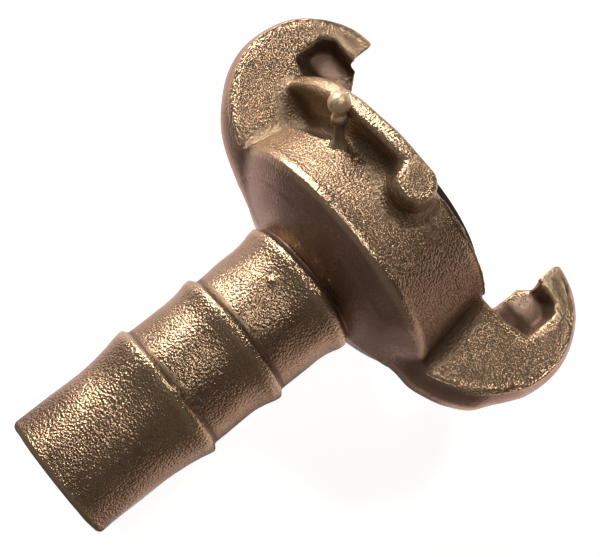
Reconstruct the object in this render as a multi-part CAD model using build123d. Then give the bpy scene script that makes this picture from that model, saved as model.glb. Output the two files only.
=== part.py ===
from build123d import *
import os
from math import cos, sin, tan, radians

CENTER, MIN = Align.CENTER, Align.MIN

# Claw hose coupling half, cast in brass, with a barbed tail for a 19 mm hose.
# It stands on its hose end: +Z runs up the axis to the coupling face, and the two claws
# lie on +Y and -Y. Half a turn about Z swaps the two sides, but for the webs' inner
# edges, the slant of the hook ends and the gate stub.
# All lengths are in millimetres and all angles in degrees.

# Hose tail
bore_radius = 7.5
barb_radius = 10.8
land_radius = 9.9
tip_radius = 9.7
tip_round = 0.8
first_barb = 19.7
barb_pitch = 11.95
barb_count = 3
crest_length = 1.1
crest_start_drop = 0.15
crest_end_drop = 0.2
step_length = 0.5
flare_share = 0.55

# Head: the flared back, the drum and the coupling face
back_start = 44.6
drum_back = 50.5
drum_front = 62.8
drum_radius = 20.0
drum_front_radius = 18.6
back_bulge = 0.7
lip_height = 0.4
lip_width = 1.0

# Seal seat in the coupling face, and the rubber seal
seat_radius = 15.8
seat_depth = 4.2
seal_width = 6.2
seal_rise = 2.2
seal_lip_inset = 0.7
seal_lip_width = 2.4

# Claws, as plates in the YZ plane with a crowned rim
claw_half = 4.3
crown_height = 1.5
rim_depth = 8.0
claw_centre_y = 20.3
claw_centre_z = 62.6
claw_radius = 13.3
shoulder_radius = 20.0
shoulder_angle = -35.0
spine_slope = 16.0
rim_end = 92.0
hook_reach = 21.0
hook_inside = 70.7
tip_draft = 12.5
hook_round = 0.5

# Ground stub of the gate on the heel of the +Y claw: its outline in the YZ plane
gate_half = 2.8
gate_round = 1.5
gate_points = [(18.4, 52.0), (18.4, 47.1), (20.9, 46.4), (26.0, 48.6), (30.4, 51.9), (30.3, 57.0), (18.4, 52.0)]

# Pockets in both sides of each claw, with a thin web between them
web_half = 0.9
web_edges = (20.3, 17.9)
web_bevel = 2.3
web_notch = 1.9
pocket_outer = 26.7
pocket_rise = 1.1
pocket_floor_rise = 3.0
pocket_draft = 0.7
pocket_corner = 1.6

# Locking flange with its foot
flange_radius = 24.3
flange_back = 59.9
flange_front = 62.3
flange_slant = 0.6
flange_end = -80.0
flange_round = 0.7
foot_angle = 1.8
foot_radius = 2.75
foot_draft = 7.0
foot_depth = 6.0

# Groove in the drum behind the flange, from the claw to beside the pin
groove_radius = 4.5
groove_depth = 1.8
groove_height = 60.2
groove_end = -46.0

# Stop pin: a stem with a ball head, pressed into the drum at a lean. The ball's centre
# lies outside the flange's rim by ball_reach.
pin_angle = -33.6
pin_height = 57.6
pin_lean = 17.6
pin_depth = 3.2
stem_radius = 0.9
ball_radius = 1.45
ball_reach = 1.60978
pin_length = (flange_radius + ball_reach - drum_radius) / cos(radians(pin_lean))


def polar(centre, radius, angle):
    """Point of a circle in the YZ plane, at an angle from +Y towards +Z."""
    y = centre[0] + radius * cos(radians(angle))
    z = centre[1] + radius * sin(radians(angle))
    return (0, y, z)


def around(radius, angle, height):
    """Point at a radius from the axis and an angle from +X towards +Y."""
    return (radius * cos(radians(angle)), radius * sin(radians(angle)), height)


def flat_shape(*curves):
    """Face closed by curves that follow each other."""
    return make_face([edge for curve in curves for edge in curve.edges()])


def tail():
    """The bored barbed tail: lands, concave flares, rounded crests and small steps."""
    start = (tip_radius - tip_round, 0)
    here = (tip_radius, tip_round)
    edges = [RadiusArc(start, here, -tip_round)]
    for crest in [first_barb + barb_pitch * i for i in range(barb_count)]:
        land_end = (here[0], here[1] + (crest - here[1]) * flare_share)
        flare_end = (barb_radius - crest_start_drop, crest - crest_length)
        crest_top = (barb_radius, crest - crest_length / 2)
        crest_end = (barb_radius - crest_end_drop, crest)
        edges.append(Line(here, land_end))
        edges.append(TangentArc(land_end, flare_end, tangent=(0, 1)))
        edges.append(ThreePointArc(flare_end, crest_top, crest_end))
        here = (land_radius, crest + step_length)
        edges.append(Line(crest_end, here))
    edges.append(Polyline(here, (land_radius, drum_back), (bore_radius, drum_back), (bore_radius, 0), start))
    return revolve(Plane.XZ * flat_shape(*edges), Axis.Z)


def drum():
    """The flared back, a raised lip round its edge, and the slightly drafted drum."""
    neck = (land_radius, back_start)
    lip = (drum_radius + lip_height, drum_back - lip_width)
    middle = ((neck[0] + lip[0]) / 2 + back_bulge / 2, (neck[1] + lip[1]) / 2 - back_bulge)
    outline = [
        ThreePointArc(neck, middle, lip),
        Polyline(lip, (lip[0], drum_back), (drum_radius, drum_back + lip_height), (drum_front_radius, drum_front)),
        Polyline((drum_front_radius, drum_front), (bore_radius, drum_front), (bore_radius, back_start), neck),
    ]
    return revolve(Plane.XZ * flat_shape(*outline), Axis.Z)


def claw_path(inset):
    """Spine, shoulder and rim of a claw in the YZ plane, moved inwards by an inset."""
    centre = (claw_centre_y, claw_centre_z)
    lean = claw_radius - shoulder_radius
    shoulder = polar(centre, lean, shoulder_angle)[1:]
    rim = claw_radius - inset
    low = polar(shoulder, shoulder_radius - inset, spine_slope - 90)
    join = polar(centre, rim, shoulder_angle)
    run = low[1] / 2
    root = (0, low[1] - run, low[2] - run * tan(radians(spine_slope)))
    shoulder_middle = polar(shoulder, shoulder_radius - inset, (spine_slope - 90 + shoulder_angle) / 2)
    rim_middle = polar(centre, rim, (shoulder_angle + rim_end) / 2)
    end = polar(centre, rim, rim_end)
    return [Line(root, low), ThreePointArc(low, shoulder_middle, join), ThreePointArc(join, rim_middle, end)]


def crowned(path, half, height, depth):
    """A bar with a crowned outer side, swept along a path in the YZ plane."""
    section_plane = Plane(origin=path @ 0, x_dir=(1, 0, 0), z_dir=path % 0)
    inwards = -1 if section_plane.y_dir.Z < 0 else 1
    edge = (half, inwards * height)
    deep = (half, inwards * depth)
    section = [
        ThreePointArc((-edge[0], edge[1]), (0, 0), edge),
        Polyline(edge, deep, (-deep[0], deep[1]), (-edge[0], edge[1])),
    ]
    return sweep(section_plane * flat_shape(*section), path=path)


def gate_pad():
    """The ground stub of the gate, a narrow flat pad on the heel of the +Y claw."""
    outline = make_face(Polyline(*gate_points))
    heel = outline.vertices().sort_by(Axis.X)[-2:]
    outline = fillet(heel, gate_round)
    return extrude(Plane.YZ * outline, amount=gate_half, both=True)


def claw():
    """A solid claw on +Y: a flat plate with a crowned rim swept along its outline."""
    rim = Wire(claw_path(0))
    crown = crowned(rim, claw_half, crown_height, rim_depth)
    inner = claw_path(crown_height)
    first = inner[0] @ 0
    last = inner[-1] @ 1
    close = Polyline(last, (0, first.Y, last.Z), first)
    plate = extrude(flat_shape(*inner, close), amount=claw_half, both=True)
    return crown, plate


def half_turn(shape):
    """A copy of a shape after half a turn about the axis."""
    return Rot(0, 0, 180) * shape


def pocket(web_edge):
    """Cutter for one side of a claw on +Y: a drafted pocket, open to the side and inwards."""
    back = drum_front
    front = hook_inside
    inner = web_edge / 2
    root = web_edge + web_bevel
    far = pocket_outer - pocket_corner
    near_points = [
        (inner, back),
        (root, back),
        (pocket_outer, back + pocket_rise),
        (pocket_outer, front - pocket_corner),
        (far, front),
        (inner, front),
    ]
    floor_back = back + pocket_floor_rise
    floor_front = front - pocket_draft
    floor_outer = pocket_outer - pocket_draft
    floor_points = [
        (inner, floor_back),
        (root, floor_back),
        (floor_outer, floor_back + pocket_draft),
        (floor_outer, floor_front - pocket_corner),
        (far - pocket_draft, floor_front),
        (inner, floor_front),
    ]
    mouth = Plane.YZ.offset(claw_half) * make_face(Polyline(*near_points, close=True))
    floor = Plane.YZ.offset(web_half) * make_face(Polyline(*floor_points, close=True))
    bevel = make_face(Polyline((0, inner), (0, web_edge), (web_half, root), (web_half, inner), close=True))
    side = loft([floor.face(), mouth.face()], ruled=True) + extrude(mouth, amount=claw_half)
    return side + Pos(0, 0, back) * extrude(bevel, amount=front - back)


def with_hook_end(blank, wide_side):
    """A claw blank on +Y cut off at its hook's end, with a rounded tip.

    The end slants, so that the hook reaches furthest in on the wide side, 1 for +X or -1 for -X.
    """
    width = 2 * claw_half
    slant = tan(radians(tip_draft))
    mouth = make_face(Polyline(
        (wide_side * width, 0),
        (wide_side * width, hook_reach - claw_half * slant),
        (-wide_side * width, hook_reach + (width + claw_half) * slant),
        (-wide_side * width, 0),
        close=True,
    ))
    cut = blank - Pos(0, 0, hook_inside) * extrude(mouth, amount=claw_radius, dir=(0, 0, 1))
    tip = cut.edges().filter_by_position(Axis.Y, hook_reach, hook_reach + claw_half)
    return fillet(tip.sort_by(Axis.Z)[-1], hook_round)


def claw_cuts(web_edge):
    """Everything cut out of a claw on +Y whose web reaches in to the given distance."""
    one_side = pocket(web_edge)
    both_sides = one_side + mirror(one_side, about=Plane.YZ)
    width = 3 * claw_half
    tall = 2 * (hook_inside - drum_front)
    gap = Pos(0, 0, drum_front) * Box(width, 2 * web_edge, tall, align=(CENTER, CENTER, MIN))
    notch = make_face(Polyline(
        (0, hook_inside - web_notch),
        (web_edge, hook_inside - web_notch),
        (web_edge + web_notch, hook_inside),
        (0, hook_inside),
        close=True,
    ))
    return both_sides + gap + extrude(Plane.YZ * notch, amount=width / 2, both=True)


def flange():
    """The curved flange on the camera side, which ends in a round drafted foot."""
    deep = drum_front_radius - groove_depth
    profile = make_face(Polyline(
        (deep, flange_back - flange_slant),
        (flange_radius, flange_back),
        (flange_radius, flange_front),
        (deep, flange_front + flange_slant / 2),
        close=True,
    ))
    profile = fillet(profile.vertices().group_by(Axis.X)[-1], flange_round)
    band = revolve(Plane.XZ * profile, Axis.Z, revolution_arc=foot_angle - flange_end)
    band = Rot(0, 0, flange_end) * band
    spread = foot_radius + foot_depth * tan(radians(foot_draft))
    foot = Cone(spread, foot_radius, foot_depth, align=(CENTER, CENTER, MIN))
    foot = fillet(foot.edges().sort_by(Axis.Z)[-1], flange_round)
    foot_height = flange_front - foot_radius
    place = Plane(
        origin=around(flange_radius - foot_depth, foot_angle, foot_height),
        x_dir=(0, 0, 1),
        z_dir=around(1, foot_angle, 0),
    )
    trim = Pos(0, 0, flange_front) * Cylinder(2 * flange_radius, 2 * foot_radius, align=(CENTER, CENTER, MIN))
    return [band, place * foot - trim]


def groove():
    """Cutter for the hollow behind the flange, with a ball end beside the pin."""
    reach = drum_front_radius - groove_depth + groove_radius
    ring = revolve(Plane.XZ * (Pos(reach, groove_height) * Circle(groove_radius)), Axis.Z, revolution_arc=groove_end - flange_end)
    end = Pos(*around(reach, groove_end, groove_height)) * Sphere(groove_radius)
    return Rot(0, 0, flange_end) * ring + end


def pin_frame():
    """Frame at the drum's full radius, with its axis along the pin."""
    out = around(cos(radians(pin_lean)), pin_angle, sin(radians(pin_lean)))
    return Plane(origin=around(drum_radius, pin_angle, pin_height), z_dir=out)


def stop_pin():
    """A stem that sits in a hole in the drum, with a ball head."""
    stem = Pos(0, 0, -pin_depth) * Cylinder(stem_radius, pin_depth + pin_length, align=(CENTER, CENTER, MIN))
    ball = Pos(0, 0, pin_length) * Sphere(ball_radius)
    return pin_frame() * (stem + ball)


def pin_hole():
    """Cutter for the hole that holds the pin."""
    hole = Pos(0, 0, -pin_depth) * Cylinder(stem_radius, pin_depth + pin_length, align=(CENTER, CENTER, MIN))
    return pin_frame() * hole


def seal():
    """The rubber ring: it fills the seat and rises in a lip that bears on the other half's lip."""
    floor = drum_front - seat_depth
    top = drum_front + seal_rise
    inside = seat_radius - seal_width
    lip_outside = seat_radius - seal_lip_inset
    profile = Polyline(
        (inside, floor),
        (seat_radius, floor),
        (seat_radius, drum_front),
        (lip_outside, top),
        (lip_outside - seal_lip_width, top),
        (inside, drum_front),
        close=True,
    )
    return revolve(Plane.XZ * make_face(profile), Axis.Z)


def body():
    """The whole casting."""
    crown, plate = claw()
    blank = crown + plate
    near_claw = with_hook_end(blank, 1) + gate_pad() - claw_cuts(web_edges[0])
    far_claw = with_hook_end(blank, -1) - claw_cuts(web_edges[1])
    head = drum() - groove() - half_turn(groove())
    head = head + near_claw + half_turn(far_claw)
    for piece in flange():
        head = head + piece + half_turn(piece)
    shaft = Pos(0, 0, back_start) * Cylinder(bore_radius, drum_front, align=(CENTER, CENTER, MIN))
    seat = Pos(0, 0, drum_front - seat_depth) * Cylinder(seat_radius, seat_depth, align=(CENTER, CENTER, MIN))
    return tail() + head - shaft - seat - pin_hole() - half_turn(pin_hole())


def write(name, shape):
    """Write one node's STEP file."""
    shape.label = name
    export_step(shape, os.path.join("parts", name + ".step"))


def main():
    os.makedirs("parts", exist_ok=True)
    write("coupling_body", body())
    write("face_seal", seal())
    write("stop_pin_front", stop_pin())
    write("stop_pin_back", half_turn(stop_pin()))


main()
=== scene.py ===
"""Claw hose coupling: a rough brass casting with a rubber face seal and two stop pins.

The tail, the parting beads, the seal and the pins are surfaces worked out with numpy. The head is a
skin over the upper part of the CAD solid, with its corners softened. The settings hold lengths in
metres, as Blender does. The code works in millimetres.
"""
import math
from types import SimpleNamespace

import bmesh
import bpy
import numpy as np
from mathutils import Matrix, Vector


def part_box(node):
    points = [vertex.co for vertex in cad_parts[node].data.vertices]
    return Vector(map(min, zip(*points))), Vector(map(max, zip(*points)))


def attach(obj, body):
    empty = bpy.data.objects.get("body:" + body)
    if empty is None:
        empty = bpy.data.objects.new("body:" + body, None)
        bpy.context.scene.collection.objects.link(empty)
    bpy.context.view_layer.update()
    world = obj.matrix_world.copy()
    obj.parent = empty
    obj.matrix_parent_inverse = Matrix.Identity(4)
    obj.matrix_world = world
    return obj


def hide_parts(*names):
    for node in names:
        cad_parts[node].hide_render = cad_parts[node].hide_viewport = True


bl_info = {
    "name": "Claw Hose Coupling",
    "version": (1, 0, 0),
    "blender": (4, 5, 0),
    "location": "View3D > Sidebar > Coupling",
    "description": "Dresses a cast claw hose coupling with its surfaces, finishes and studio",
    "category": "Object",
}

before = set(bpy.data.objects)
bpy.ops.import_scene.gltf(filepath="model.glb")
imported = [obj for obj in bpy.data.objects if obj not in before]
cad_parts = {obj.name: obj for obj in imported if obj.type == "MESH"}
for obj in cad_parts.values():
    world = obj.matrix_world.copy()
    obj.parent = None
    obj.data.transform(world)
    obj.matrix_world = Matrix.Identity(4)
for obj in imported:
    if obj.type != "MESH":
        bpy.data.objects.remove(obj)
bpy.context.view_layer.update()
BODY = "root"
MM = 0.001
MATERIALS = {}

# Small flaws on the tail: angle in degrees, then radius, height, reach and rise.
TAIL_FLAWS = ((8.0, 10.4, 20.0, 0.55, 0.5), (-12.0, 10.15, 39.5, 0.5, 0.45))

# Each pin's name and the CAD node that it replaces. The second is the first after half a turn.
PINS = (("pin_front", "stop_pin_front"), ("pin_back", "stop_pin_back"))

# Where one finish gives way to the next, from and to: heights, radii, and a distance to the side.
TAIL_END = (43.6, 44.6)
DRUM_REAR = (50.2, 50.8)
DRUM_EDGE = (20.6, 21.2)
CLAW_REAR = (50.0, 51.0)
CLAW_FACE = (3.6, 3.95)
# The pins' painted shade on the stem ends at this radius, where the ball begins.
BALL_START = (23.2, 23.9)

# The lower claw's heel, where the gate stub was cut off: it begins this far out, ends at this
# height and reaches this far to each side.
STUB_FROM, STUB_TOP, STUB_HALF = 17.0, 58.0, 3.7
# Corners above this height keep their edges, and the bore inside this radius stays smooth.
CRISP_ABOVE = 62.4
SMOOTH_WITHIN = 17.0

# Each lamp: its place in the picture's own directions, its side, its power and its colour.
LAMPS = {
    "key": ((-125, 365, 95), 120, 1.3, (1.0, 0.96, 0.93)),
    "front": ((116, 140, 306), 50, 0.3, (1.0, 0.95, 0.91)),
    "soft": ((-75, 60, 420), 70, 0.12, (1.0, 0.95, 0.92)),
}
# What the metal mirrors: the bright backdrop, the dim floor, and a painted shadow: a dim spot on the
# backdrop where the part's shadow falls.
MIRRORED_BACKDROP = (0.98, 0.77, 0.74)
MIRRORED_DIM = (0.12, 0.1, 0.09)
SHADED_SPOT = (2, -40)
SPOT_REACH = (14, 26)
WORLD_GLOW = (0.06, 0.05, 0.045)
WHITE = (1.0, 1.0, 1.0)
# Half the side of the floor and backdrop, and the signs of their corners.
SHEET = 1500
CORNERS = ((-1, -1), (1, -1), (1, 1), (-1, 1))


class TailSettings(bpy.types.PropertyGroup):
    """Sizes of the barbed hose tail."""
    bore: bpy.props.FloatProperty(
        name="Bore radius", description="Radius of the passage", default=7.5 * MM, unit="LENGTH")
    tip: bpy.props.FloatProperty(
        name="Tip radius", description="Radius of the first land", default=9.7 * MM, unit="LENGTH")
    tip_round: bpy.props.FloatProperty(
        name="Tip rounding", description="Radius of the tip's edge", default=0.8 * MM, unit="LENGTH")
    land: bpy.props.FloatProperty(
        name="Land radius", description="Radius between the ridges", default=9.9 * MM, unit="LENGTH")
    ridge: bpy.props.FloatProperty(
        name="Ridge radius", description="Radius over the ridges", default=10.8 * MM, unit="LENGTH")
    first: bpy.props.FloatProperty(
        name="First ridge", description="Height of the first ridge", default=19.7 * MM, unit="LENGTH")
    pitch: bpy.props.FloatProperty(
        name="Pitch", description="Distance between ridges", default=11.95 * MM, unit="LENGTH")
    ridges: bpy.props.IntProperty(name="Ridges", description="Number of ridges", default=3)
    crest: bpy.props.FloatProperty(
        name="Crest", description="Length of a ridge's rounded top", default=1.1 * MM, unit="LENGTH")
    step: bpy.props.FloatProperty(
        name="Step", description="Length of the step behind a ridge", default=0.5 * MM, unit="LENGTH")
    flare: bpy.props.FloatProperty(
        name="Plain share", description="Share of a stretch before its flare", default=0.55,
        subtype="FACTOR")
    join: bpy.props.FloatProperty(
        name="Join", description="Height at which the head takes over", default=44.35 * MM, unit="LENGTH")
    around: bpy.props.IntProperty(name="Columns", description="Mesh columns around the tail", default=250)
    grain: bpy.props.FloatProperty(
        name="Grain", description="Height of the cast grain", default=0.004 * MM, unit="LENGTH")
    grain_size: bpy.props.FloatProperty(
        name="Grain size", description="Width of the cast grain", default=0.75 * MM, unit="LENGTH")
    lumps: bpy.props.FloatProperty(
        name="Lumps", description="Height of the slow unevenness", default=0.07 * MM, unit="LENGTH")


class HeadSettings(bpy.types.PropertyGroup):
    """How finely the head is remeshed and how soft and uneven its skin is."""
    voxel: bpy.props.FloatProperty(
        name="Voxel", description="Size of the remesh cells", default=0.34 * MM, unit="LENGTH")
    passes: bpy.props.IntProperty(name="Smoothing", description="Smoothing passes over the mesh", default=4)
    fillet: bpy.props.IntProperty(
        name="Corner passes", description="More passes in hollow corners", default=60)
    hollow: bpy.props.FloatProperty(
        name="Hollow", description="Depth of a corner that gets every pass", default=0.12 * MM,
        unit="LENGTH")
    lumps: bpy.props.FloatProperty(
        name="Lumps", description="Height of the slow unevenness", default=0.06 * MM, unit="LENGTH")


class ClawSettings(bpy.types.PropertyGroup):
    """Circles that the parting beads follow on the claws' flat faces and the drum's front edge."""
    bead: bpy.props.FloatProperty(
        name="Bead radius", description="Radius of a parting bead", default=0.17 * MM, unit="LENGTH")
    face: bpy.props.FloatProperty(
        name="Face", description="Distance of a flat face from the middle", default=4.22 * MM, unit="LENGTH")
    rim_y: bpy.props.FloatProperty(
        name="Rim centre Y", description="Centre of a claw's rim", default=20.3 * MM, unit="LENGTH")
    rim_z: bpy.props.FloatProperty(
        name="Rim centre Z", description="Height of that centre", default=62.6 * MM, unit="LENGTH")
    rim: bpy.props.FloatProperty(
        name="Rim radius", description="Radius of a claw's flat rim", default=11.8 * MM, unit="LENGTH")
    heel_y: bpy.props.FloatProperty(
        name="Heel centre Y", description="Centre of a claw's heel", default=14.81 * MM, unit="LENGTH")
    heel_z: bpy.props.FloatProperty(
        name="Heel centre Z", description="Height of that centre", default=66.44 * MM, unit="LENGTH")
    heel: bpy.props.FloatProperty(
        name="Heel radius", description="Radius of a claw's heel", default=18.5 * MM, unit="LENGTH")
    drum: bpy.props.FloatProperty(
        name="Drum bead", description="Radius of the bead on the drum", default=18.52 * MM, unit="LENGTH")
    front: bpy.props.FloatProperty(
        name="Drum bead height", description="Height of that bead", default=62.7 * MM, unit="LENGTH")


class SealSettings(bpy.types.PropertyGroup):
    """Sizes of the rubber ring. Its outside and its ends come from the CAD node."""
    inner: bpy.props.FloatProperty(
        name="Inner radius", description="Radius of the ring's hole", default=9.6 * MM, unit="LENGTH")
    face: bpy.props.FloatProperty(
        name="Face", description="Height of the flat round the lip", default=62.8 * MM, unit="LENGTH")
    lip_outer: bpy.props.FloatProperty(
        name="Lip outside", description="Outer radius of the lip", default=15.1 * MM, unit="LENGTH")
    lip_inner: bpy.props.FloatProperty(
        name="Lip inside", description="Inner radius of the lip", default=12.7 * MM, unit="LENGTH")
    round: bpy.props.FloatProperty(
        name="Rounding", description="Radius of the lip's edges", default=0.45 * MM, unit="LENGTH")
    spacing: bpy.props.FloatProperty(
        name="Spacing", description="Distance of the section's points", default=0.22 * MM, unit="LENGTH")
    columns: bpy.props.IntProperty(name="Columns", description="Mesh columns around the ring", default=256)


class PinSettings(bpy.types.PropertyGroup):
    """Sizes of the stop pins."""
    stem: bpy.props.FloatProperty(
        name="Stem radius", description="Radius of the stem", default=0.9 * MM, unit="LENGTH")
    ball: bpy.props.FloatProperty(
        name="Ball radius", description="Radius of the head", default=1.6 * MM, unit="LENGTH")
    length: bpy.props.FloatProperty(
        name="Length", description="From the drum to the ball's centre", default=5.6 * MM, unit="LENGTH")
    depth: bpy.props.FloatProperty(
        name="Depth", description="Length inside the drum", default=3.2 * MM, unit="LENGTH")
    angle: bpy.props.FloatProperty(
        name="Angle", description="Place round the drum", default=math.radians(-33.6), subtype="ANGLE")
    height: bpy.props.FloatProperty(
        name="Height", description="Place along the axis", default=57.6 * MM, unit="LENGTH")
    lean: bpy.props.FloatProperty(
        name="Lean", description="Lean towards the face", default=math.radians(17.6), subtype="ANGLE")
    drum: bpy.props.FloatProperty(
        name="Drum radius", description="Radius of the drum", default=20.0 * MM, unit="LENGTH")
    columns: bpy.props.IntProperty(name="Columns", description="Mesh columns around a pin", default=64)
    rows: bpy.props.IntProperty(name="Rows", description="Points along a pin's outline", default=90)


class FinishSettings(bpy.types.PropertyGroup):
    """Colours and texture of the casting, the pins and the seal."""
    brass: bpy.props.FloatVectorProperty(
        name="Brass", description="Colour of the grainy metal", subtype="COLOR",
        default=(0.43, 0.305, 0.195))
    skin: bpy.props.FloatVectorProperty(
        name="Smooth skin", description="Colour of the smooth metal", subtype="COLOR",
        default=(0.42, 0.28, 0.22))
    # Oxide: the colour of patina in hollows, which also carries painted shade there and on the pins' stems.
    dark: bpy.props.FloatVectorProperty(
        name="Oxide", description="Colour in the hollows", subtype="COLOR", default=(0.11, 0.065, 0.035))
    # Rubbed: the colour of rubbed edges, also used for the painted glints in the grain and for the pins'
    # light metal.
    bright: bpy.props.FloatVectorProperty(
        name="Rubbed", description="Colour of rubbed edges", subtype="COLOR", default=(0.68, 0.52, 0.33))
    rubber: bpy.props.FloatVectorProperty(
        name="Rubber", description="Colour of the seal", subtype="COLOR", default=(0.022, 0.018, 0.014))
    grain: bpy.props.FloatProperty(
        name="Grain", description="Size of the cast grain", default=0.38 * MM, unit="LENGTH")
    relief: bpy.props.FloatProperty(
        name="Relief", description="Depth of the cast grain", default=0.11 * MM, unit="LENGTH")
    gloss: bpy.props.FloatProperty(
        name="Roughness", description="Roughness of the clean metal", default=0.27, subtype="FACTOR")
    # Strength of the darkening in hollows: oxide and painted shade together.
    oxide_and_shade_strength: bpy.props.FloatProperty(
        name="Dirt", description="Strength of the oxide in hollows", default=0.7, subtype="FACTOR")
    wear: bpy.props.FloatProperty(
        name="Wear", description="Strength of the rubbed edges", default=0.5, subtype="FACTOR")


class StageSettings(bpy.types.PropertyGroup):
    """Camera, floor and backdrop."""
    camera: bpy.props.FloatVectorProperty(
        name="Camera", description="Place of the camera", unit="LENGTH",
        default=(170.5 * MM, 13.6 * MM, 9.9 * MM))
    aim: bpy.props.FloatVectorProperty(
        name="Aim", description="Point in the middle of the picture", unit="LENGTH",
        default=(0.08 * MM, -0.88 * MM, 44.54 * MM))
    roll: bpy.props.FloatProperty(
        name="Roll", description="Turn of the camera", default=math.radians(51.66), subtype="ANGLE")
    lens: bpy.props.FloatProperty(
        name="Lens", description="Focal length on a 36 mm sensor", default=72.0, unit="CAMERA")
    backdrop: bpy.props.FloatProperty(
        name="Backdrop", description="Distance behind the aim point", default=46.0 * MM, unit="LENGTH")
    floor_white: bpy.props.FloatProperty(
        name="Floor white", description="Brightness of the floor itself", default=0.93, subtype="FACTOR")
    backdrop_white: bpy.props.FloatProperty(
        name="Backdrop white", description="Brightness of the backdrop itself", default=0.77,
        subtype="FACTOR")


GROUPS = {
    "coupling_tail": TailSettings,
    "coupling_head": HeadSettings,
    "coupling_claws": ClawSettings,
    "coupling_seal": SealSettings,
    "coupling_pins": PinSettings,
    "coupling_finish": FinishSettings,
    "coupling_stage": StageSettings,
}


def settings(name):
    """One group's values: lengths in millimetres, to a tenth of a micron, and arrays as tuples."""
    group = getattr(bpy.context.scene, name)
    values = {}
    for key in GROUPS[name].__annotations__:
        rule = group.bl_rna.properties[key]
        value = getattr(group, key)
        if rule.unit == "LENGTH":
            value = np.round(np.array(value) / MM, 4)
        values[key] = tuple(value) if rule.is_array else value
    return SimpleNamespace(**values)


class Field:
    """A value in a shader: an expression on fields adds its own nodes to the material."""

    def __init__(self, tree, socket=None):
        self.tree = tree
        self.socket = socket

    def add(self, kind, setup=None, **values):
        """Any node: its type, its settings, and the values or links of its sockets."""
        node = self.tree.nodes.new(kind)
        for key, value in (setup or {}).items():
            setattr(node, key, value)
        for key, value in values.items():
            self.feed(node, key, value)
        return node

    def feed(self, node, key, value):
        """Give one socket of a node a number, a colour or a link. A key such as i2 is a socket's number."""
        socket = node.inputs[int(key[1:])] if key[1:].isdigit() else node.inputs[key.replace("_", " ")]
        if isinstance(value, Field):
            self.tree.links.new(value.socket, socket)
        else:
            socket.default_value = value

    def make(self, kind, output=0, setup=None, **values):
        """A node of any type, given back as the field of one of its outputs."""
        return Field(self.tree, self.add(kind, setup, **values).outputs[output])

    def math(self, operation, *values):
        """One Math node on this field and up to two more values."""
        inputs = {"i%d" % i: value for i, value in enumerate((self,) + values)}
        return self.make("ShaderNodeMath", 0, {"operation": operation}, **inputs)

    def __add__(self, other):
        return self.math("ADD", other)

    def __sub__(self, other):
        return self.math("SUBTRACT", other)

    def __rsub__(self, other):
        return (self * -1.0) + other

    def __mul__(self, other):
        return self.math("MULTIPLY", other)

    def __pow__(self, other):
        return self.math("POWER", other)

    def __abs__(self):
        return self.math("ABSOLUTE")

    __radd__ = __add__
    __rmul__ = __mul__

    def most(self, other):
        """The larger of two fields."""
        return self.math("MAXIMUM", other)

    def rise(self, start, end):
        """A smooth step from 0 at start to 1 at end, whichever of the two is larger."""
        setup = {"interpolation_type": "SMOOTHSTEP"}
        return self.make("ShaderNodeMapRange", 0, setup, Value=self, i1=start, i2=end)

    def between(self, lengths):
        """A smooth step from the first to the second of two lengths in millimetres."""
        return self.rise(lengths[0] * MM, lengths[1] * MM)

    def blend(self, first, second):
        """First colour where this field is 0, second where it is 1."""
        node = self.add("ShaderNodeMix", {"data_type": "RGBA"})
        self.feed(node, "i0", self)
        self.feed(node, "i6", first if isinstance(first, Field) else (*first, 1.0))
        self.feed(node, "i7", second if isinstance(second, Field) else (*second, 1.0))
        return Field(self.tree, node.outputs[2])

    def parts(self):
        """The three parts of this vector."""
        node = self.add("ShaderNodeSeparateXYZ", None, Vector=self)
        return [Field(self.tree, socket) for socket in node.outputs]

    def stored(self, name):
        """The number that the mesh stores under a name."""
        return self.make("ShaderNodeAttribute", 2, {"attribute_name": name})

    def noise(self, size, detail=2.0, roughness=0.5, distortion=0.0):
        """Noise on this vector, with features of about the given size in millimetres."""
        return self.make(
            "ShaderNodeTexNoise", 0, None,
            Vector=self, Scale=1.0 / (size * MM), Detail=detail, Roughness=roughness, Distortion=distortion)

    def cells(self, size):
        """Distance to the nearest cell centre, with cells of the given size in millimetres."""
        setup = {"feature": "SMOOTH_F1"}
        scale = 1.0 / (size * MM)
        return self.make("ShaderNodeTexVoronoi", 0, setup, Vector=self, Scale=scale, Smoothness=0.6)

    def bump(self, strength, distance):
        """A normal that takes this field as height, with 1 standing for a distance in millimetres."""
        return self.make("ShaderNodeBump", 0, None, Height=self, Strength=strength, Distance=distance * MM)


def find_node(tree, kind):
    """The first node of one type in a tree."""
    return next(node for node in tree.nodes if node.type == kind)


def new_material(name):
    """An empty material with its surface shader, and the object's own coordinates."""
    material = bpy.data.materials.new(name)
    material.use_nodes = True
    tree = material.node_tree
    place = Field(tree).make("ShaderNodeTexCoord", "Object")
    return material, find_node(tree, "BSDF_PRINCIPLED"), place


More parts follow.
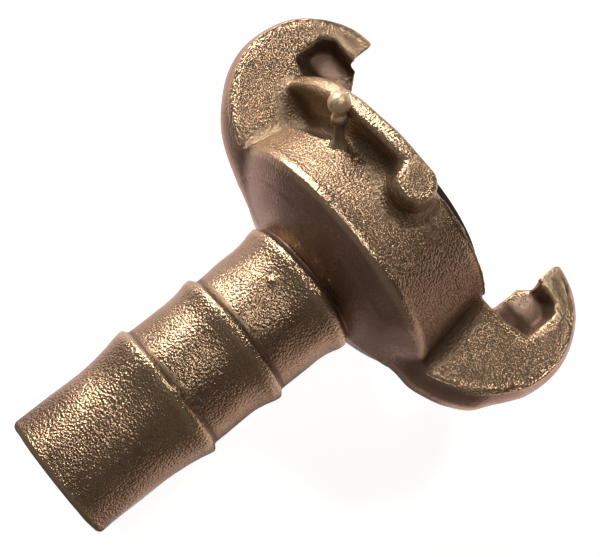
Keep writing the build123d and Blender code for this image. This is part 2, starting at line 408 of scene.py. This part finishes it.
def cast_brass():
    """Sand-cast brass: pebbled grain on drum, claw faces and tail, a smoother skin behind.

    Slow noise and fine pepper darken it, hollows hold oxide and painted shade, painted glints brighten the
    grain, and edges are rubbed bright.
    """
    finish = settings("coupling_finish")
    material, shader, place = new_material("cast_brass")
    x, y, z = place.parts()
    radius = (x * x + y * y) ** 0.5
    tail = 1 - z.between(TAIL_END)
    drum = z.between(DRUM_REAR) * (1 - radius.between(DRUM_EDGE))
    flat = abs(x).between(CLAW_FACE) * z.between(CLAW_REAR)
    rough = tail.most(drum).most(flat)
    grain = place.noise(finish.grain * 0.62, 2.0, 0.55, 0.1)
    pebbles = 1 - place.cells(finish.grain)
    slow = place.noise(7.0, 3.0, 0.55)
    speck = place.noise(finish.grain * 0.3, 1.0, 0.5)
    edge = place.stored("edge_wear")
    deep = place.stored("deep_wear")
    worn = edge.rise(0.56, 0.9)
    # Hollows darken towards the oxide colour: partly patina, partly painted shade where light would not
    # reach, most in the deep hollows.
    oxide_and_shade = (1 - edge.rise(0.1, 0.46)).most((1 - deep.rise(0.05, 0.45)) * 0.8)
    tint = (slow * 0.6 + grain * 0.4).rise(0.35, 0.75) * 0.45
    # Painted glints: bright specks of the rubbed colour on the grainy metal, standing in for sparkles of
    # light.
    painted_glint = speck.rise(0.5, 0.72) * rough * 0.5
    pepper = speck.rise(0.5, 0.3) * 0.35 + grain.rise(0.5, 0.35) * 0.25
    colour = tint.blend(rough.blend(finish.skin, finish.brass), finish.dark)
    colour = painted_glint.blend(colour, finish.bright)
    colour = pepper.blend(colour, finish.dark)
    # Painted shade and oxide in the hollows.
    colour = (oxide_and_shade * finish.oxide_and_shade_strength).blend(colour, finish.dark)
    colour = (worn * finish.wear).blend(colour, finish.bright)
    coarse = 1 + drum * 0.1 + flat * 0.3
    height = (pebbles * (rough * 0.5 + 0.35) + grain * 0.45 + speck * 0.35) * coarse
    gloss = finish.gloss - rough * 0.03 + (slow - 0.5) * 0.16 + oxide_and_shade * 0.2 - worn * 0.08
    place.feed(shader, "Base Color", colour)
    place.feed(shader, "Metallic", 0.9 - oxide_and_shade * 0.25)
    place.feed(shader, "Roughness", gloss)
    place.feed(shader, "Normal", height.bump(1.0, finish.relief))
    return material


def pin_brass():
    """The pins: the same metal, darkened on the stem as painted shade, with light metal on the ball."""
    finish = settings("coupling_finish")
    material, shader, place = new_material("pin_brass")
    x, y, _ = place.parts()
    ball = ((x * x + y * y) ** 0.5).between(BALL_START)
    grain = place.noise(0.6, 3.0, 0.6, 0.5)
    slow = place.noise(2.2, 2.0, 0.5)
    polished = tuple(min(1.0, part * 1.35) for part in finish.bright)
    colour = grain.rise(0.3, 0.55).blend(finish.bright, polished)
    colour = (slow.rise(0.55, 0.75) * 0.4).blend(colour, finish.dark)
    # Painted shade: the stem darkens towards the oxide colour, as if in the shade of its ball.
    colour = (0.75 - ball * 0.75).blend(colour, finish.dark)
    place.feed(shader, "Base Color", colour)
    place.feed(shader, "Roughness", 0.32 + slow * 0.2)
    place.feed(shader, "Normal", (grain + slow).bump(0.8, 0.15))
    shader.inputs["Metallic"].default_value = 0.55
    return material


def seal_rubber():
    """Matt black rubber with a dusty bloom and fine moulding texture."""
    finish = settings("coupling_finish")
    material, shader, place = new_material("seal_rubber")
    dust = place.noise(3.5, 4.0, 0.6)
    fine = place.noise(0.4, 2.0, 0.5)
    pale = tuple(min(1.0, part * 3.0 + 0.02) for part in finish.rubber)
    colour = (dust.rise(0.5, 0.8) * 0.35).blend(finish.rubber, pale)
    place.feed(shader, "Base Color", colour)
    place.feed(shader, "Roughness", 0.55 + dust * 0.25)
    place.feed(shader, "Normal", fine.bump(0.3, 0.05))
    shader.inputs["Specular IOR Level"].default_value = 0.35
    return material


FINISHES = {"cast_brass": cast_brass, "pin_brass": pin_brass, "seal_rubber": seal_rubber}


def material_for(slot):
    """The material of a slot, made when a piece first asks for it."""
    if slot not in MATERIALS:
        MATERIALS[slot] = FINISHES[slot]()
    return MATERIALS[slot]


def ray_kinds(start):
    """Two fields: 1 on rays from the camera, straight or through glass, and 1 on mirrored rays."""
    path = start.add("ShaderNodeLightPath")
    camera = Field(start.tree, path.outputs["Is Camera Ray"])
    through = Field(start.tree, path.outputs["Is Transmission Ray"])
    return camera.most(through), Field(start.tree, path.outputs["Is Glossy Ray"])


def studio_white(name, own, mirrored, spot):
    """White to the camera, darkened a little by a shadow.

    In reflections it has a set tone, and a painted shadow: a dim tone round a fixed spot, where the part's
    shadow falls.
    """
    material, shader, place = new_material(name)
    away = place.make("ShaderNodeVectorMath", 1, {"operation": "DISTANCE"}, i0=place, i1=tuple(spot))
    # Painted shadow in reflections: the dim tone round the spot, the set tone further off.
    tone = away.between(SPOT_REACH).blend(MIRRORED_DIM, mirrored)
    seen, glossy = ray_kinds(place)
    lit = seen.blend((0.12, 0.12, 0.12), (0.8, 0.8, 0.8))
    glow = glossy.blend((0.0, 0.0, 0.0), tone)
    place.feed(shader, "Base Color", lit)
    place.feed(shader, "Emission Color", seen.blend(glow, (own, own, own)))
    shader.inputs["Roughness"].default_value = 1.0
    shader.inputs["Specular IOR Level"].default_value = 0.0
    shader.inputs["Emission Strength"].default_value = 1.0
    return material


def waves(points, smallest, largest, count, seed):
    """Sum of plane waves of random direction and phase at each point, scaled to unit spread."""
    random = np.random.default_rng(seed)
    turn = random.normal(size=(count, 3))
    turn /= np.linalg.norm(turn, axis=1)[:, None]
    length = np.exp(random.uniform(np.log(smallest), np.log(largest), count))
    phase = random.uniform(0, 2 * np.pi, count)
    total = np.zeros(len(points))
    for direction, size, start in zip(turn, length, phase):
        total += np.sin(points @ direction * (2 * np.pi / size) + start)
    return total / math.sqrt(count / 2)


def grid_faces(rows, columns, wrap_rows):
    """Quads of a grid, numbered row by row: each row is a closed ring, and the rows may be one too."""
    row = np.arange(rows if wrap_rows else rows - 1)[:, None]
    column = np.arange(columns)[None, :]
    row_next = (row + 1) % rows
    column_next = (column + 1) % columns
    corners = [row * columns + column, row * columns + column_next]
    corners += [row_next * columns + column_next, row_next * columns + column]
    return np.stack([np.broadcast_to(c, (row.size, column.size)) for c in corners], -1).reshape(-1, 4)


def pole_faces(rows, columns):
    """Triangles from a grid's first ring to the next free point, and from its last ring to the one after."""
    step = np.arange(columns)
    ahead = (step + 1) % columns
    last = rows * columns
    low = np.stack([np.full(columns, last), ahead, step], 1)
    high = np.stack([np.full(columns, last + 1), step + last - columns, ahead + last - columns], 1)
    return np.vstack([low, high])


def new_piece(name, points, faces, slot):
    """A smooth-shaded object from points in millimetres and lists of corners, turned faces outwards."""
    mesh = bpy.data.meshes.new(name)
    mesh.from_pydata((points * MM).tolist(), [], faces)
    mesh.polygons.foreach_set("use_smooth", np.ones(len(mesh.polygons), bool))
    mesh.update()
    if signed_volume(mesh) < 0:
        mesh.flip_normals()
    piece = bpy.data.objects.new(name, mesh)
    bpy.context.scene.collection.objects.link(piece)
    mesh.materials.append(material_for(slot))
    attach(piece, BODY)
    return piece


def signed_volume(mesh):
    """Volume inside a closed mesh, negative where its faces point inwards."""
    mesh.calc_loop_triangles()
    corners = np.empty(len(mesh.loop_triangles) * 3, np.int32)
    mesh.loop_triangles.foreach_get("vertices", corners)
    place = read_points(mesh)[corners].reshape(-1, 3, 3)
    return float(np.einsum("ij,ij->", place[:, 0], np.cross(place[:, 1], place[:, 2])) / 6)


def read_points(mesh):
    """Vertices of a mesh in millimetres."""
    flat = np.empty(len(mesh.vertices) * 3, np.float32)
    mesh.vertices.foreach_get("co", flat)
    return flat.reshape(-1, 3).astype(float) / MM


def write_points(mesh, points):
    """Move the vertices of a mesh to new places in millimetres."""
    mesh.vertices.foreach_set("co", (points * MM).astype(np.float32).ravel())
    mesh.update()


def read_normals(mesh):
    """Vertex normals of a mesh."""
    flat = np.empty(len(mesh.vertices) * 3, np.float32)
    mesh.vertex_normals.foreach_get("vector", flat)
    return flat.reshape(-1, 3).astype(float)


def neighbours(mesh):
    """A function that averages an array over each vertex's neighbours along the edges."""
    pairs = np.empty(len(mesh.edges) * 2, np.int32)
    mesh.edges.foreach_get("vertices", pairs)
    first, second = pairs[0::2], pairs[1::2]
    count = np.bincount(pairs, minlength=len(mesh.vertices)).astype(float)

    def average(values):
        total = np.empty_like(values)
        for k in range(values.shape[1]):
            ahead = np.bincount(first, values[second, k], len(count))
            total[:, k] = ahead + np.bincount(second, values[first, k], len(count))
        return total / np.maximum(count, 1)[:, None]

    return average


def standing(points, normals, average, passes):
    """How far each vertex stands out, in millimetres: its offset along its normal from its
    surroundings' mean, which reaches further with each pass."""
    soft = points
    for _ in range(passes):
        soft = average(soft)
    return np.einsum("ij,ij->i", points - soft, normals)


def mark_wear_and_shade(mesh, spread):
    """Store how far each vertex stands out of its surroundings: 0 hollow, 0.5 flat, 1 edge.

    The attribute edge_wear looks a short way round each vertex, deep_wear about twice as far. The materials
    rub the edges bright and darken the hollows with oxide and painted shade.
    """
    average = neighbours(mesh)
    points = read_points(mesh)
    normals = read_normals(mesh)
    for name, passes, scale in (("edge_wear", spread, 0.12), ("deep_wear", 5 * spread, 0.5)):
        stand = standing(points, normals, average, passes)
        value = np.clip(0.5 + stand / (2 * scale), 0, 1)[:, None]
        for _ in range(2):
            value = average(value)
        store(mesh, name, value[:, 0])


def store(mesh, name, values):
    """Keep one number for each vertex on the mesh, for the materials to read."""
    attribute = mesh.attributes.new(name, "FLOAT", "POINT")
    attribute.data.foreach_set("value", values.astype(np.float32))


def arc(middle, radius, first, last, count):
    """Points of a circle in a plane between two angles in degrees, evenly spaced."""
    turn = np.radians(np.linspace(first, last, count))
    return np.stack([middle[0] + radius * np.cos(turn), middle[1] + radius * np.sin(turn)], 1)


def arc_between(start, end, slope, count):
    """Arc from start to end that leaves start in the direction slope, as (radius, height)."""
    start, end, slope = (np.array(v, float) for v in (start, end, slope))
    chord = end - start
    side = np.array([-slope[1], slope[0]])
    radius = chord @ chord / (2 * (chord @ side))
    centre = start + side * radius
    turn = 2 * math.atan2(chord @ side, chord @ slope)
    angle = np.linspace(0, turn, count)[:, None]
    arm = start - centre
    across = np.array([-arm[1], arm[0]])
    return centre + arm * np.cos(angle) + across * np.sin(angle)


def tail_outline():
    """Closed half section of the tail: tip, lands, concave flares, crests and steps, then the bore."""
    tail = settings("coupling_tail")
    parts = [arc((tail.tip - tail.tip_round, tail.tip_round), tail.tip_round, -90, 0, 9)]
    here = (tail.tip, tail.tip_round)
    for index in range(tail.ridges):
        top = tail.first + tail.pitch * index
        land_end = (here[0], here[1] + (top - here[1]) * tail.flare)
        flare_end = (tail.ridge - 0.15, top - tail.crest)
        parts.append(arc_between(land_end, flare_end, (0, 1), 24))
        parts.append([[tail.ridge - 0.08, top - tail.crest / 2], [tail.ridge, top - 0.3]])
        here = (tail.land, top + tail.step)
        parts.append([[tail.ridge - 0.12, top], here])
    end = tail.join + 1.0
    parts.append([[tail.land, end], [tail.bore, end], [tail.bore, 0.3], [tail.bore + 0.3, 0.0]])
    return np.vstack(parts)


def run_lengths(outline):
    """Distance along an outline to each of its points."""
    return np.concatenate([[0], np.cumsum(np.linalg.norm(np.diff(outline, axis=0), axis=1))])


def at_lengths(outline, places):
    """Points of an outline at the given distances along it."""
    length = run_lengths(outline)
    return np.stack([np.interp(places, length, outline[:, k]) for k in range(2)], 1)


def even_loop(outline, spacing):
    """A closed outline with its points spread evenly along its length."""
    closed = np.vstack([outline, outline[:1]])
    total = run_lengths(closed)[-1]
    count = int(total / spacing)
    return at_lengths(closed, np.arange(count) * (total / count))


def rounded(outline, passes):
    """A closed outline with softer corners: each pass gives a point half its neighbours' mean."""
    for _ in range(passes):
        outline = (np.roll(outline, 1, 0) + 2 * outline + np.roll(outline, -1, 0)) / 4
    return outline


def turned(outline, columns):
    """Points of a half section carried round the Z axis, one row for each outline point."""
    angle = np.arange(columns) * (2 * np.pi / columns)
    radius, height = outline[:, :1], outline[:, 1:]
    grid = [radius * np.cos(angle), radius * np.sin(angle), np.broadcast_to(height, (len(outline), columns))]
    return np.stack(grid, -1).reshape(-1, 3)


def turned_ring(outline, columns):
    """Points and faces of a closed half section carried round the Z axis."""
    return turned(outline, columns), grid_faces(len(outline), columns, True).tolist()


def push_out(mesh, push):
    """Move each vertex along its normal, in millimetres."""
    write_points(mesh, read_points(mesh) + read_normals(mesh) * push[:, None])


def dent(mesh, radius, angle, height, reach, rise):
    """Raise a small flaw on a surface about the axis: a hill that falls as the Gauss curve."""
    angle = math.radians(angle)
    centre = np.array([radius * math.cos(angle), radius * math.sin(angle), height])
    gap = np.linalg.norm(read_points(mesh) - centre, axis=1)
    push_out(mesh, rise * np.exp(-(gap / reach) ** 2))


def tube(path, radius, columns, seed, first):
    """Points and faces of a closed tube carried along a path, its points numbered from first.

    Each ring stands square to the path. Waves make its radius uneven, and it shrinks as a square
    root over the last few rings. A flat face closes each end.
    """
    along = np.gradient(path, axis=0)
    along /= np.linalg.norm(along, axis=1)[:, None]
    side = np.cross(along, np.array([0.31, 0.2, 0.93]))
    side /= np.linalg.norm(side, axis=1)[:, None]
    up = np.cross(along, side)
    uneven = radius * (1 + 0.3 * waves(path, 0.8, 4.0, 16, seed))
    ends = np.minimum(np.arange(len(path)), np.arange(len(path))[::-1]) / 6.0
    uneven *= np.sqrt(np.clip(ends, 0.02, 1))
    turn = np.arange(columns) * (2 * np.pi / columns)
    ring = side[:, None] * np.cos(turn)[None, :, None] + up[:, None] * np.sin(turn)[None, :, None]
    points = (path[:, None] + ring * uneven[:, None, None]).reshape(-1, 3)
    step = np.arange(columns)
    caps = np.stack([step[::-1], (len(path) - 1) * columns + step])
    return points, (grid_faces(len(path), columns, False) + first).tolist() + (caps + first).tolist()


def head_shell(height):
    """The CAD body above a height: doubles merged, cut across, and closed by a flat ring."""
    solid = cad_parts["coupling_body"].data.copy()
    shell = bmesh.new()
    shell.from_mesh(solid)
    bmesh.ops.remove_doubles(shell, verts=shell.verts, dist=0.002 * MM)
    everything = shell.verts[:] + shell.edges[:] + shell.faces[:]
    cut = Vector((0, 0, height * MM))
    bmesh.ops.bisect_plane(shell, geom=everything, plane_co=cut, plane_no=(0, 0, 1), clear_inner=True)
    rim = [edge for edge in shell.edges if edge.is_boundary]
    bmesh.ops.bridge_loops(shell, edges=rim)
    bmesh.ops.triangulate(shell, faces=shell.faces)
    shell.to_mesh(solid)
    shell.free()
    return solid


def even_skin(solid, cell):
    """An even mesh of quads over a closed mesh, by a voxel remesh with cells of the given size."""
    source = bpy.data.objects.new("head_source", solid)
    bpy.context.scene.collection.objects.link(source)
    remesh = source.modifiers.new("skin", "REMESH")
    remesh.mode = "VOXEL"
    remesh.voxel_size = cell * MM
    remesh.adaptivity = 0.0
    bpy.context.view_layer.update()
    depsgraph = bpy.context.evaluated_depsgraph_get()
    mesh = bpy.data.meshes.new_from_object(source.evaluated_get(depsgraph))
    bpy.data.objects.remove(source)
    if len(mesh.vertices) < 1000:
        raise RuntimeError("the head's remesh came out empty")
    return mesh


def soften(points, average, passes):
    """Smooth without shrinking: half a step to the neighbours' mean, then a shorter one back."""
    for _ in range(passes):
        points = points + 0.5 * (average(points) - points)
        points = points - 0.3 * (average(points) - points)
    return points


class COUPLING_OT_tail(bpy.types.Operator):
    """Build the barbed hose tail as a half section carried round the axis"""
    bl_idname = "coupling.tail"
    bl_label = "Hose tail"

    def execute(self, context):
        tail = settings("coupling_tail")
        spacing = 2 * math.pi * tail.ridge / tail.around
        outline = rounded(even_loop(tail_outline(), spacing), 1)
        piece = new_piece("hose_tail", *turned_ring(outline, tail.around), "cast_brass")
        points = read_points(piece.data)
        outside = np.hypot(points[:, 0], points[:, 1]) > tail.bore + 1.0
        mask = outside * np.clip((tail.join - points[:, 2]) / 0.5, 0, 1)
        fine = waves(points, tail.grain_size * 0.8, tail.grain_size * 1.9, 60, 12)
        push_out(piece.data, mask * (tail.lumps * waves(points, 5.0, 18.0, 24, 11) + tail.grain * fine))
        for angle, radius, height, reach, rise in TAIL_FLAWS:
            dent(piece.data, radius, angle, height, reach, rise)
        mark_wear_and_shade(piece.data, 12)
        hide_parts("coupling_body")
        return {"FINISHED"}


class COUPLING_OT_head(bpy.types.Operator):
    """Build the drum, claws and flanges as one soft-edged cast skin"""
    bl_idname = "coupling.head"
    bl_label = "Head casting"

    def execute(self, context):
        head = settings("coupling_head")
        claw = settings("coupling_claws")
        mesh = even_skin(head_shell(settings("coupling_tail").join), head.voxel)
        average = neighbours(mesh)
        points = soften(read_points(mesh), average, head.passes)
        write_points(mesh, points)
        depth = -standing(points, read_normals(mesh), average, 8)
        share = np.clip(depth / head.hollow, 0, 1)[:, None] * (points[:, 2:] < CRISP_ABOVE)
        x, y, z = points.T
        stub = (y > STUB_FROM) & (z < STUB_TOP) & (np.abs(x) < STUB_HALF)
        stub &= np.hypot(y - claw.rim_y, z - claw.rim_z) > claw.rim + 0.4
        share = np.maximum(share, stub[:, None] * 0.9)
        for _ in range(6):
            share = average(share)
        for _ in range(head.fillet):
            points = points + share * (average(points) - points)
        corners = np.empty(len(mesh.loops), np.int32)
        mesh.loops.foreach_get("vertex_index", corners)
        piece = new_piece("head_casting", points, corners.reshape(-1, 4).tolist(), "cast_brass")
        points = read_points(piece.data)
        outside = np.hypot(points[:, 0], points[:, 1]) > SMOOTH_WITHIN
        push_out(piece.data, head.lumps * outside * waves(points, 5.0, 18.0, 24, 23))
        mark_wear_and_shade(piece.data, 10)
        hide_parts("coupling_body")
        return {"FINISHED"}


class COUPLING_OT_seams(bpy.types.Operator):
    """Build the fine parting beads along the claws' flat faces and the drum's front edge"""
    bl_idname = "coupling.seams"
    bl_label = "Parting beads"

    def execute(self, context):
        claw = settings("coupling_claws")
        rim = arc((claw.rim_y, claw.rim_z), claw.rim, -35, 76, 190)
        heel = arc((claw.heel_y, claw.heel_z), claw.heel, -70, -35, 60)[:-1]
        edge = np.vstack([heel, rim])
        paths = []
        for side in (1, -1):
            for face in (claw.face, -claw.face):
                paths.append(np.column_stack([np.full(len(edge), face), edge[:, 0] * side, edge[:, 1]]))
        for start in (12, 192):
            ring = arc((0, 0), claw.drum, start, start + 62, 120)
            paths.append(np.column_stack([ring, np.full(len(ring), claw.front)]))
        points = np.empty((0, 3))
        faces = []
        for index, path in enumerate(paths):
            more, quads = tube(path, claw.bead, 10, 60 + index, len(points))
            points = np.vstack([points, more])
            faces += quads
        piece = new_piece("parting_beads", points, faces, "cast_brass")
        for name in ("edge_wear", "deep_wear"):
            store(piece.data, name, np.full(len(points), 0.8))
        return {"FINISHED"}


class COUPLING_OT_seal(bpy.types.Operator):
    """Build the rubber ring with its rounded lip"""
    bl_idname = "coupling.seal"
    bl_label = "Face seal"

    def execute(self, context):
        seal = settings("coupling_seal")
        low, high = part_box("face_seal")
        bottom, top = low.z / MM, high.z / MM
        outer = high.x / MM
        outline = np.array([
            [seal.inner, bottom], [outer - 0.3, bottom], [outer - 0.1, bottom + 0.4],
            [outer - 0.1, seal.face],
            [seal.lip_outer, top - seal.round], [seal.lip_outer - 0.3, top - 0.1],
            [seal.lip_outer - seal.round - 0.4, top], [seal.lip_inner + seal.round, top],
            [seal.lip_inner, top - 0.2], [seal.inner + 0.9, seal.face - 0.2], [seal.inner, seal.face - 0.9],
        ])
        outline = rounded(even_loop(outline, seal.spacing), 3)
        piece = new_piece("seal_ring", *turned_ring(outline, seal.columns), "seal_rubber")
        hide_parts("face_seal")
        return {"FINISHED"}


class COUPLING_OT_pins(bpy.types.Operator):
    """Build the two ball-headed stop pins"""
    bl_idname = "coupling.pins"
    bl_label = "Stop pins"

    def execute(self, context):
        pin = settings("coupling_pins")
        level = Vector((math.cos(pin.angle), math.sin(pin.angle), 0))
        axis = level * math.cos(pin.lean) + Vector((0, 0, math.sin(pin.lean)))
        foot = level * pin.drum + Vector((0, 0, pin.height))
        turn = np.array(axis.to_track_quat("Z", "X").to_matrix())
        start = math.asin((pin.stem + 0.25) / pin.ball)
        sweep = np.linspace(math.pi - start, 0.0, 20)[:, None]
        ball = np.hstack([pin.ball * np.sin(sweep), pin.length + pin.ball * np.cos(sweep)])
        stem_top = ball[0, 1]
        collar = stem_top - 1.5
        stem = np.array([
            [pin.stem, -pin.depth], [pin.stem + 0.5, -1.4], [pin.stem + 0.45, -0.95],
            [pin.stem + 0.1, -0.45], [pin.stem * 0.85, 0.1], [pin.stem * 0.8, 0.8],
            [pin.stem * 0.8, collar - 0.7], [pin.stem + 0.3, collar - 0.2],
            [pin.stem + 0.32, collar + 0.3], [pin.stem - 0.05, stem_top - 0.3],
        ])
        outline = np.vstack([[[0.0, -pin.depth]], stem, ball])
        outline = at_lengths(outline, np.linspace(0, run_lengths(outline)[-1], pin.rows))
        outline[1:-1] = (outline[:-2] + 2 * outline[1:-1] + outline[2:]) / 4
        rows = pin.rows - 2
        poles = [[0, 0, outline[0, 1]], [0, 0, outline[-1, 1]]]
        blank = np.vstack([turned(outline[1:-1], pin.columns), poles])
        faces = grid_faces(rows, pin.columns, False).tolist() + pole_faces(rows, pin.columns).tolist()
        half_turn = np.array([-1, -1, 1])
        for index, (name, node) in enumerate(PINS):
            uneven = 1 + 0.02 * waves(blank, 1.5, 4.0, 12, 41 + index)
            points = blank * np.stack([uneven, uneven, np.ones(len(blank))], 1)
            placed = (points @ turn.T + np.array(foot)) * half_turn ** index
            piece = new_piece(name, placed, faces, "pin_brass")
            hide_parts(node)
        return {"FINISHED"}


def view_matrix():
    """Camera matrix at the photograph's viewpoint."""
    stage = settings("coupling_stage")
    place = Vector(stage.camera) * MM
    back = (place - Vector(stage.aim) * MM).normalized()
    side = Vector((0, 0, 1)).cross(back).normalized()
    up = back.cross(side)
    turn = Matrix((side, up, back)).transposed().to_4x4()
    return Matrix.Translation(place) @ turn @ Matrix.Rotation(stage.roll, 4, "Z")


def from_view(right, up, near):
    """A point given in the picture's own directions, in millimetres from the aim point."""
    turn = view_matrix().to_3x3()
    return Vector(settings("coupling_stage").aim) * MM + turn @ (Vector((right, up, near)) * MM)


def add_lamp(name, place, side, power, colour):
    """A square soft lamp that points at the part."""
    lamp = bpy.data.lights.new(name, "AREA")
    lamp.shape = "SQUARE"
    lamp.size = side * MM
    lamp.energy = power
    lamp.color = colour
    thing = bpy.data.objects.new(name, lamp)
    bpy.context.scene.collection.objects.link(thing)
    target = Vector(settings("coupling_stage").aim) * MM
    turn = (place - target).to_track_quat("Z", "Y").to_matrix().to_4x4()
    thing.matrix_world = Matrix.Translation(place) @ turn


def add_sheet(name, corners, material):
    """A flat four-cornered sheet of the stage."""
    mesh = bpy.data.meshes.new(name)
    mesh.from_pydata([tuple(corner) for corner in corners], [], [(0, 1, 2, 3)])
    mesh.materials.append(material)
    sheet = bpy.data.objects.new(name, mesh)
    bpy.context.scene.collection.objects.link(sheet)


class COUPLING_OT_stage(bpy.types.Operator):
    """Set up the camera, the lamps, the floor and the backdrop"""
    bl_idname = "coupling.stage"
    bl_label = "Studio"

    def execute(self, context):
        stage = settings("coupling_stage")
        camera = bpy.data.cameras.new("camera")
        camera.lens = stage.lens
        camera.sensor_width = 36.0
        camera.clip_start = 0.005
        eye = bpy.data.objects.new("camera", camera)
        eye.matrix_world = view_matrix()
        context.scene.collection.objects.link(eye)
        context.scene.camera = eye
        spot = from_view(*SHADED_SPOT, -stage.backdrop)
        floor = [(x * SHEET * MM, y * SHEET * MM, 0) for x, y in CORNERS]
        add_sheet("floor", floor, studio_white("floor_white", stage.floor_white, MIRRORED_DIM, spot))
        back = [from_view(x * SHEET, y * SHEET, -stage.backdrop) for x, y in CORNERS]
        white = studio_white("backdrop_white", stage.backdrop_white, MIRRORED_BACKDROP, spot)
        add_sheet("backdrop", back, white)
        for name, (place, side, power, colour) in LAMPS.items():
            add_lamp(name, from_view(*place), side, power, colour)
        world = bpy.data.worlds.new("studio")
        context.scene.world = world
        world.use_nodes = True
        start = Field(world.node_tree)
        seen, _ = ray_kinds(start)
        start.feed(find_node(start.tree, "BACKGROUND"), "Color", seen.blend(WORLD_GLOW, WHITE))
        context.scene.view_settings.view_transform = "Standard"
        return {"FINISHED"}


OPERATORS = (
    COUPLING_OT_tail, COUPLING_OT_head, COUPLING_OT_seams, COUPLING_OT_seal, COUPLING_OT_pins,
    COUPLING_OT_stage,
)


class COUPLING_PT_panel(bpy.types.Panel):
    """A button for every group of pieces, and below them their settings"""
    bl_idname = "COUPLING_PT_panel"
    bl_label = "Claw hose coupling"
    bl_space_type = "VIEW_3D"
    bl_region_type = "UI"
    bl_category = "Coupling"

    def draw(self, context):
        for operator in OPERATORS:
            self.layout.operator(operator.bl_idname)
        for name, group in GROUPS.items():
            box = self.layout.box()
            for key in group.__annotations__:
                box.prop(getattr(context.scene, name), key)


def register():
    for group in GROUPS.values():
        bpy.utils.register_class(group)
    for name, group in GROUPS.items():
        setattr(bpy.types.Scene, name, bpy.props.PointerProperty(type=group))
    for kind in OPERATORS + (COUPLING_PT_panel,):
        bpy.utils.register_class(kind)


def unregister():
    for kind in reversed(OPERATORS + (COUPLING_PT_panel,)):
        bpy.utils.unregister_class(kind)
    for name in GROUPS:
        delattr(bpy.types.Scene, name)
    for group in reversed(tuple(GROUPS.values())):
        bpy.utils.unregister_class(group)


def main():
    """Register, then build every group in order."""
    register()
    bpy.ops.coupling.tail()
    bpy.ops.coupling.head()
    bpy.ops.coupling.seams()
    bpy.ops.coupling.seal()
    bpy.ops.coupling.pins()
    bpy.ops.coupling.stage()


if __name__ == "__main__":
    main()
